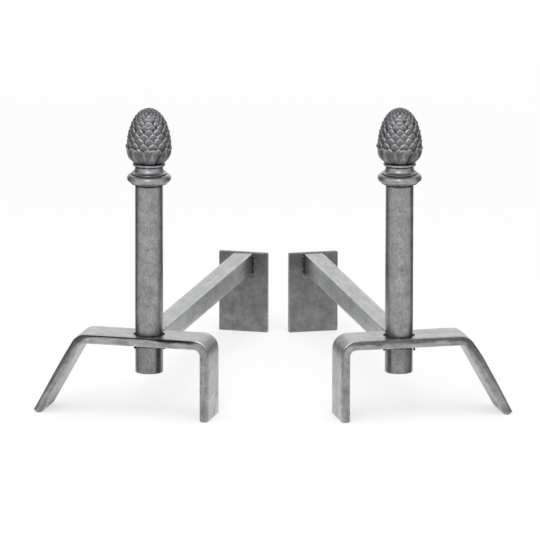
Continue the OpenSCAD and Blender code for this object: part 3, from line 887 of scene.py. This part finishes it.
# One vertex for each tip: x in turns, y as a share of the outline's length.
def seatMesh(rows):
    rng = random.Random(cone["seed"])
    verts, values = [], {key: [] for key in ("rowLength", "lip", "wide", "lean", "pitch", "skew")}
    for place, low, around, shift, lip, calm in rows:
        rowRun = runAt(place) - runAt(low)
        jitter = cone["jitter"] * calm
        high = lip * mm * lipShare(coneOutline(place)[0])
        for k in range(around):
            turn = (k + shift + rng.uniform(-1, 1) * jitter) / around
            verts.append((turn, runAt(place) + rng.uniform(-1, 1) * jitter * 0.8 * rowRun, 0.0))
            values["rowLength"].append(rowRun * (1 + rng.uniform(-1, 1) * jitter))
            values["lip"].append(high * (1 + rng.uniform(-1, 1) * 0.15))
            values["wide"].append((1 + rng.uniform(-0.3, 1) * jitter) / (around * (2.1 if calm < 1 else 1)))
            values["lean"].append(rng.uniform(-1, 1) * cone["lean"] * calm)
            values["pitch"].append(rng.uniform(-1, 1) * cone["pitch"] * calm)
            values["skew"].append(rng.uniform(-1, 1) * cone["skew"] * calm / around)
    mesh = bpy.data.meshes.new("coneSeats")
    mesh.from_pydata(verts, [], [])
    for key, numbers in values.items():
        mesh.attributes.new(key, "FLOAT", "POINT").data.foreach_set("value", numbers)
    return mesh


# The rows: place of the tip, place one row lower, how many around, shift, lip and unevenness.
def scaleRows():
    rows = []
    for row in range(3, cone["rows"]):
        place = (row + cone["ahead"]) / cone["rows"]
        around = next(count for below, count in cone["around"] if place < below)
        rows.append((place, place - 1 / cone["rows"], around, 0.5 if row % 2 == 0 else 0.0, cone["lip"], 1.0))
    return rows


def leafRows(tip, at, lip):
    return [(placeAt(tip), placeAt(cone["leafFoot"]), cone["leaves"], at * cone["leaves"], lip, 0.6)]


# A Geometry Nodes tree with named inputs: the tree, the identifier of each input, and the inputs.
def newTree(name, inputs):
    tree = bpy.data.node_groups.new(name, "GeometryNodeTree")
    sockets = {}
    for label, kind in {"Geometry": "Geometry", **inputs, "Material": "Material"}.items():
        sockets[label] = tree.interface.new_socket(
            name=label, in_out="INPUT", socket_type="NodeSocket" + kind).identifier
    tree.interface.new_socket(name="Geometry", in_out="OUTPUT", socket_type="NodeSocketGeometry")
    return tree, sockets, addNode(tree, "NodeGroupInput").outputs


def closeTree(tree, geometry, material):
    even = link(tree, "GeometryNodeSetShadeSmooth", {"Geometry": geometry})
    done = link(tree, "GeometryNodeSetMaterial", {"Geometry": even, "Material": material})
    addNode(tree, "NodeGroupOutput", {0: done})


# Geometry Nodes lay a scale on every seat, then roll the flat sheet of scales onto the cone's outline.
def coneTree():
    tree, sockets, given = newTree("rollScalesOntoCone", {
        "Scale": "Object", "Outline": "Object", "Lumps": "Float", "Seed": "Float"})

    def named(name):
        return link(tree, "GeometryNodeInputNamedAttribute", {"Name": name}, data_type="FLOAT")

    def m(operation, *values):
        return calc(tree, operation, *values)

    shape = addNode(tree, "GeometryNodeObjectInfo", {"Object": given["Scale"]})
    laid = link(tree, "GeometryNodeInstanceOnPoints", {
        "Points": given["Geometry"], "Instance": shape.outputs["Geometry"],
        "Scale": combine(tree, named("wide"), named("rowLength"), named("lip"))})
    real = link(tree, "GeometryNodeRealizeInstances", {0: laid})
    place = link(tree, "GeometryNodeInputPosition")
    flatX, flatY, flatZ = addNode(tree, "ShaderNodeSeparateXYZ", {0: place}).outputs
    # each scale stands a little unevenly, and the casting is lumpy
    across = m("MULTIPLY_ADD", named("skew"), named("down"), flatX)
    pitch = m("MULTIPLY", named("pitch"), m("ADD", named("down"), 0.5))
    tilt = m("MULTIPLY_ADD", named("lean"), named("across"), pitch)
    stepX, stepY = cone["lumpSteps"]
    lumps = addNode(tree, "ShaderNodeTexNoise", {
        "Vector": combine(tree, m("MULTIPLY", flatX, stepX), m("MULTIPLY", flatY, stepY), given["Seed"]),
        "Scale": 1.0, "Detail": 2.0})
    lumpy = m("MULTIPLY", m("SUBTRACT", lumps.outputs["Fac"], 0.5), m("MULTIPLY", given["Lumps"], 2.0))
    high = m("MULTIPLY_ADD", m("MULTIPLY", tilt, named("relief")), named("lip"),
             m("MULTIPLY_ADD", lumpy, named("relief"), flatZ))
    line = addNode(tree, "GeometryNodeObjectInfo", {"Object": given["Outline"]})
    at = addNode(tree, "GeometryNodeSampleCurve", {
        "Curves": line.outputs["Geometry"], "Factor": m("MINIMUM", flatY, 1.0)}, mode="FACTOR", use_all_curves=True)
    alongX, _, alongZ = addNode(tree, "ShaderNodeSeparateXYZ", {0: at.outputs["Tangent"]}).outputs
    outward = combine(tree, alongZ, 0.0, m("MULTIPLY", alongX, -1.0))
    lift = link(tree, "ShaderNodeVectorMath", {0: outward, 3: m("SUBTRACT", high, named("lip"))}, operation="SCALE")
    section = link(tree, "ShaderNodeVectorMath", {0: at.outputs["Position"], 1: lift}, operation="ADD")
    angle = m("MULTIPLY", m("SUBTRACT", across, 0.25), 2 * math.pi)
    turned = link(tree, "ShaderNodeVectorRotate", {"Vector": section, "Angle": angle}, rotation_type="Z_AXIS")
    closeTree(tree, link(tree, "GeometryNodeSetPosition", {"Geometry": real, "Position": turned}), given["Material"])
    return tree, sockets


# Runs a tree on an object and gives the result as a plain mesh. The object is removed.
def applyTree(obj, tree, sockets, values):
    modifier = obj.modifiers.new("nodes", "NODES")
    modifier.node_group = tree
    for label, value in values.items():
        modifier[sockets[label]] = value
    bpy.context.view_layer.update()
    mesh = bpy.data.meshes.new_from_object(obj.evaluated_get(bpy.context.evaluated_depsgraph_get()))
    obj.modifiers.remove(modifier)
    bpy.data.objects.remove(obj)
    return mesh


# A curve object through lines of points in mm.
def curveObject(name, lines):
    curve = bpy.data.curves.new(name, "CURVE")
    curve.dimensions = "3D"
    for line in lines:
        spline = curve.splines.new("POLY")
        spline.points.add(len(line) - 1)
        for point, (x, y, z) in zip(spline.points, line):
            point.co = (x * mm, y * mm, z * mm, 1)
    return newObject(name, curve)


# The sheets of scales and leaves that both cones get.
def makeConeSheets():
    outline = curveObject("coneOutline", [[(r, 0, z) for r, z in coneLine]])
    tree, sockets = coneTree()
    leafLip = cone["leafLip"]
    sheets = []
    for sheet, rows, seed in (
            (scaleMesh(), scaleRows(), 1.0),
            (leafMesh(curledLeaf, 0.1), leafRows(cone["curledTip"], cone["curledAt"], leafLip), 9.0),
            (leafMesh(pointedLeaf, 0.42), leafRows(cone["pointedTip"], cone["pointedAt"], leafLip * 1.1), 5.0)):
        scale = newObject("coneScale", sheet)
        sheets.append(applyTree(newObject("coneSeats", seatMesh(rows)), tree, sockets, {
            "Scale": scale, "Outline": outline, "Lumps": cone["lumps"] * mm, "Seed": seed,
            "Material": finishes["cast_iron"]}))
        bpy.data.objects.remove(scale)
    bpy.data.objects.remove(outline)
    return sheets


# The body lies under the scales, and comes up to the outline at its plain tip.
def coneBodyOutline():
    points = [(cone["bore"], 0.0), (cone["foot"] - 2.0, 0.0)]
    for place in (i / cone["bodySteps"] for i in range(2, cone["bodySteps"])):
        (r, z), (r2, z2) = coneOutline(place), coneOutline(min(1.0, place + 0.01))
        d = Vector((r2 - r, z2 - z)).normalized()
        sunk = cone["lip"] * lipShare(r) * smooth(cone["button"] * 0.4, cone["button"], r)
        points.append((max(0.05, r - d.y * sunk), z + d.x * sunk))
    points.append((0.05, points[-1][1]))
    return points + [(0.05, cone["boreDepth"] + 2), (cone["bore"], cone["boreDepth"])]


coneSheets = makeConeSheets()
for stand in stands:
    bm, (relief,) = turnOutline(coneBodyOutline(), cone["segments"], "relief")
    for v in bm.verts:                      # painted shade between the scales, but not where they end at the top
        away = math.hypot(v.co.x, v.co.y) / mm
        v[relief] = 0.6 * smooth(cone["button"], cone["button"] * 0.5, away) * (v.co.z > cone["height"] * 0.9 * mm)
    bmesh.ops.recalc_face_normals(bm, faces=bm.faces)
    for sheet in coneSheets:
        bm.from_mesh(sheet)
    # painted light: brighter towards the cone's top
    for v in bm.verts:
        v[relief] *= between(cone["topLight"], v.co.z / (cone["height"] * mm))
        v.co.z += (stand["top"] + base["height"]) * mm
    finishPiece(bm, stand, "pine_cone", "cast_iron", "onAxis", "_finial_cone", sharp=70, outward=False)
print("pine cones made")


# welds
# A bead is a row of overlapping drops of metal along a path, all in mm. Nubs hang beside the post under
# the arch: on which side, how far out and down, and how big. Spots are single drops on the log bar:
# x in from its side, y behind the arch, z above its top, and how big. wire is how bright the wire is
# that was left under the bar at the back plate.
welds = {
    "ripple": 1.7, "seed": 11, "dropTone": 0.4,
    "left": {
        "nubs": [(-1, 0.4, 5.6, 1.4), (1, 1.3, 6.2, 1.5)], "wire": 1.0,
        "spots": [(1.6, 11.0, 0.0, 0.9), (3.4, 12.5, 0.0, 0.45), (0.2, 8.0, -0.3, 0.6)],
    },
    "right": {
        "nubs": [(-1, 1.0, 6.6, 1.5), (1, 1.8, 6.2, 1.5)], "wire": 1.7,
        "spots": [(0.4, 3.0 + 1.6 * i, -0.2, 0.35) for i in range(9)],
    },
    # beads on the post's front under the arch, in radians from straight ahead
    "underDrops": (-0.9, -0.62, 0.1, 0.25, 0.7),
}


def dropMesh():
    bm = bmesh.new()
    bmesh.ops.create_icosphere(bm, subdivisions=2, radius=1.0)
    relief = bm.verts.layers.float.new("relief")
    for v in bm.verts:
        v[relief] = 0.5 + 0.5 * v.co.z
    return newMesh("weldDrop", bm)


def beadTree():
    tree, sockets, given = newTree("dropsAlongPath", {
        "Drop": "Object", "Spacing": "Float", "Size": "Float", "Spread": "Float", "Seed": "Int"})
    drop = addNode(tree, "GeometryNodeObjectInfo", {"Object": given["Drop"]}).outputs["Geometry"]
    points = addNode(tree, "GeometryNodeCurveToPoints", {
        "Curve": given["Geometry"], "Length": given["Spacing"]}, mode="LENGTH").outputs
    factor = addNode(tree, "FunctionNodeRandomValue", {
        "Min": calc(tree, "SUBTRACT", 1.0, given["Spread"]), "Max": calc(tree, "ADD", 1.0, given["Spread"]),
        "Seed": given["Seed"]}, data_type="FLOAT").outputs[1]
    laid = link(tree, "GeometryNodeInstanceOnPoints", {
        "Points": points["Points"], "Instance": drop, "Rotation": points["Rotation"],
        "Scale": calc(tree, "MULTIPLY", factor, given["Size"])})
    closeTree(tree, link(tree, "GeometryNodeRealizeInstances", {0: laid}), given["Material"])
    return tree, sockets


beads, beadSockets = beadTree()
weldDrop = newObject("weldDrop", dropMesh())


# Paths are lists of points in the frame that place leads to. Single drops are (x, y, z, radius), and
# how bright they are if they are bright.
def makeBead(stand, node, paths, size, spread, place, drops):
    mesh = applyTree(curveObject("beadPath", paths), beads, beadSockets, {
        "Drop": weldDrop, "Spacing": welds["ripple"] * mm, "Size": size * mm, "Spread": spread,
        "Seed": welds["seed"] + int(stand["seed"]), "Material": finishes["weld_metal"]})
    bm = bmesh.new()
    bm.from_mesh(mesh)
    relief = bm.verts.layers.float.get("relief")
    for x, y, z, r, *bright in drops:
        made = bmesh.ops.create_icosphere(bm, subdivisions=2 if r > 0.6 else 1, radius=r * mm,
                                          matrix=Matrix.Translation(Vector((x, y, z)) * mm))
        for v in made["verts"]:
            v[relief] = bright[0] if bright else welds["dropTone"]
    finishPiece(bm, stand, node, "weld_metal", place)


def ringPath(radius, z):
    return [(x, y, z) for x, y in arcPoints((0, 0), radius, 0, 360, 72)]


def underPath(half, y, top, low):
    return [(-half, y, top), (-half, y, low), (half, y, low), (half, y, top)]


for stand in stands:
    own = welds[stand["name"]]
    arch, under, r = stand["arch"], stand["arch"] - legs["thick"], post["radius"]
    makeBead(stand, "post_top_weld", [ringPath(r + 0.2, arch + 0.1)], 0.75, 0.35, "onAxis",
             [(-r - 0.9, -1.0, arch + 0.5, 1.3), (r + 0.9, -0.5, arch + 0.5, 1.4)])
    nubs = [(side * (r + out), -5.0, under - low * part, size / part ** 0.3)
            for side, out, low, size in own["nubs"] for part in (1, 0.55)]
    nubs += [((r + 0.2) * math.sin(a), -(r + 0.2) * math.cos(a), under - 3.0, 0.8) for a in welds["underDrops"]]
    makeBead(stand, "post_under_weld", [ringPath(r + 0.6, under - 0.5), ringPath(r + 0.1, under - 1.9)], 1.0, 0.35,
             "onAxis", nubs)
    half, top = logBar["side"] / 2, arch + logBar["proud"]
    y, low = legs["width"] / 2 + 0.3, top - logBar["side"]
    makeBead(stand, "log_bar_weld", [underPath(half + 0.3, y, arch - 0.8, under + 0.8)], 1.3, 0.25, "place",
             [(half - x, y + back, top + up, size) for x, back, up, size in own["spots"]])
    # bright wire left under the bar, and spatter beside it
    y, bright = logBar["reach"] - 0.3, own["wire"]
    wire = [(half + 1.3, y - 0.5, low - 0.9 * i, 0.5, bright) for i in range(8)]
    wire += [(half + 1.3 - 0.9 * i, y - 0.5, low - 6.8, 0.5, bright) for i in range(1, 9)]
    wire += [(half + 1.6, y - 1.1, top - 3.0, 0.7, 1.6), (half + 1.3, y - 1.3, top - 8.5, 0.5, 1.5),
             (half + 1.5, y - 1.0, low + 5.0, 0.6, 1.6)]
    makeBead(stand, "back_plate_weld", [underPath(half + 0.3, y, top - 2.5, low - 0.3)], 1.7, 0.3, "place", wire)
bpy.data.objects.remove(weldDrop)
print("welds made")

# floor, light and background
studio = {
    "floorColour": "#f4f4f4", "floorSize": 30.0,
    # how much of the floor's whiteness doesn't depend on the lamps, near the part and far from it
    "floorShown": 0.66, "floorFar": 1.0, "floorNearTo": 0.9, "floorFarFrom": 2.4,
    "sky": 1.0,                     # the white backdrop that surrounds the set
    "fill": 0.72,                   # how much of the backdrop's light falls on the floor
    # dark cloth from the floor up, at both rear sides and less dark round the front: degrees from
    # straight behind and its grey
    "curtain": [(28, 1.0), (38, 0.6), (47, 0.16), (62, 0.07), (74, 0.10), (84, 0.40), (94, 0.70), (110, 0.88),
                (180, 0.90)],
    "curtainNear": 0.34, "curtainFar": 5.0, "curtainTop": 4.2, "curtainSteps": 60, "curtainLift": 0.002,
    # dark ceiling cloth: share of its half width and its grey
    "ceiling": [(0.0, 0.30), (0.7, 0.32), (0.86, 0.5), (1.0, 1.0)],
    "ceilingHeight": 3.1, "ceilingHalf": (3.2, 2.4), "ceilingMiddle": 0.7, "ceilingSteps": 24,
    # name: where it stands, what it lights, power, size, colour and whether the metal mirrors it
    "lamps": {
        "softBoxFront": ((-0.6, -3.6, 2.9), (0, 0, 0.2), 34.0, 1.3, "#f0f4ff", True),
        "softBoxRear": ((0.2, 3.8, 2.1), (0, 0.2, 0.1), 8.5, 2.4, "#ffffff", True),
        # for the soft shadows on the floor
        "overheadPanel": ((0.0, -1.1, 2.7), (0, 0, 0), 38.0, 2.0, "#ffffff", False),
    },
}


# 1 for the camera and for what metal mirrors, 0 for the light that falls on the floor
def seenDirectly(tree):
    ray = addNode(tree, "ShaderNodeLightPath").outputs
    return calc(tree, "MAXIMUM", ray["Is Camera Ray"],
                calc(tree, "MAXIMUM", ray["Is Glossy Ray"], ray["Is Transmission Ray"]))


def makeFloor():
    bm = bmesh.new()
    bmesh.ops.create_grid(bm, x_segments=1, y_segments=1, size=studio["floorSize"])
    obj = newObject("floor", newMesh("floor", bm))
    mat, tree = newMaterial("paleFloor")
    paint = link(tree, "ShaderNodeBsdfDiffuse", {"Color": srgb(studio["floorColour"])})
    glow = link(tree, "ShaderNodeEmission", {"Color": (1, 1, 1, 1), "Strength": 1.0})
    place = addNode(tree, "ShaderNodeTexCoord").outputs["Object"]
    away = addNode(tree, "ShaderNodeVectorMath", {0: place}, operation="LENGTH")
    share = link(tree, "ShaderNodeMapRange", {
        "Value": away.outputs["Value"], "From Min": studio["floorNearTo"], "From Max": studio["floorFarFrom"],
        "To Min": studio["floorShown"], "To Max": studio["floorFar"]})
    addOutput(tree, "ShaderNodeMixShader", {
        0: calc(tree, "MULTIPLY", seenDirectly(tree), share), 1: paint, 2: glow})
    obj.data.materials.append(mat)


def makeWorld():
    scene.world = bpy.data.worlds.new("studio")
    scene.world.use_nodes = True
    tree = scene.world.node_tree
    backdrop = tree.nodes["Background"].inputs
    strength = calc(tree, "MULTIPLY_ADD", seenDirectly(tree), studio["sky"] - studio["fill"], studio["fill"])
    tree.links.new(strength, backdrop["Strength"])
    backdrop["Color"].default_value = (1, 1, 1, 1)


def clothMaterial():
    mat, tree = newMaterial("studioCloth")
    addOutput(tree, "ShaderNodeEmission", {"Color": painted(tree, "shade", "Color"), "Strength": 1.0})
    return mat


# Cloth that only the metal mirrors. Its grey is painted on its vertices, and it glows with that grey
# instead of being lit.
def makeCloth(name, rows, mat):
    bm = bmesh.new()
    shade = bm.verts.layers.float.new("shade")
    grid = []
    for row in rows:
        grid.append([bm.verts.new(place) for place, _ in row])
        for v, (_, value) in zip(grid[-1], row):
            v[shade] = value
    joinRows(bm, grid, False)
    obj = newObject(name, newMesh(name, bm))
    obj.data.materials.append(mat)
    obj.visible_camera = obj.visible_diffuse = obj.visible_shadow = False


def makeCurtains(mat):
    near, far, top, low = (studio["curtain" + key] for key in ("Near", "Far", "Top", "Lift"))
    first, last = studio["curtain"][0][0], studio["curtain"][-1][0]
    # out along the floor, then up; the last value fades it to white
    profile = [(near, low, 0.0), (near + 0.12, low, 1.0), (far, low, 1.0), (far, top * 0.85, 1.0), (far, top, 0.0)]
    for side, name in ((-1, "curtainLeft"), (1, "curtainRight")):
        rows = []
        for k in range(studio["curtainSteps"] + 1):
            angle = first + (last - first) * k / studio["curtainSteps"]
            dark, a = 1 - between(studio["curtain"], angle), math.radians(angle)
            rows.append([((side * r * math.sin(a), r * math.cos(a), z), 1 - dark * share) for r, z, share in profile])
        makeCloth(name, rows, mat)


def makeCeiling(mat):
    halfX, halfY = studio["ceilingHalf"]
    spots = [2 * i / studio["ceilingSteps"] - 1 for i in range(studio["ceilingSteps"] + 1)]
    makeCloth("ceilingCloth", [
        [((halfX * u, studio["ceilingMiddle"] + halfY * v, studio["ceilingHeight"]),
          between(studio["ceiling"], min(1.0, math.hypot(u, v)))) for u in spots] for v in spots], mat)


def makeLamp(name, place, target, power, size, colour, mirrored):
    data = bpy.data.lights.new(name, "AREA")
    data.energy, data.shape, data.size, data.color = power, "SQUARE", size, srgb(colour)[:3]
    obj = newObject(name, data)
    obj.visible_glossy = mirrored
    turn = (Vector(target) - Vector(place)).to_track_quat("-Z", "Y")
    obj.matrix_world = Matrix.Translation(place) @ turn.to_matrix().to_4x4()


makeFloor()
makeWorld()
cloth = clothMaterial()
makeCurtains(cloth)
makeCeiling(cloth)
for name, lamp in studio["lamps"].items():
    makeLamp(name, *lamp)
print("studio made")
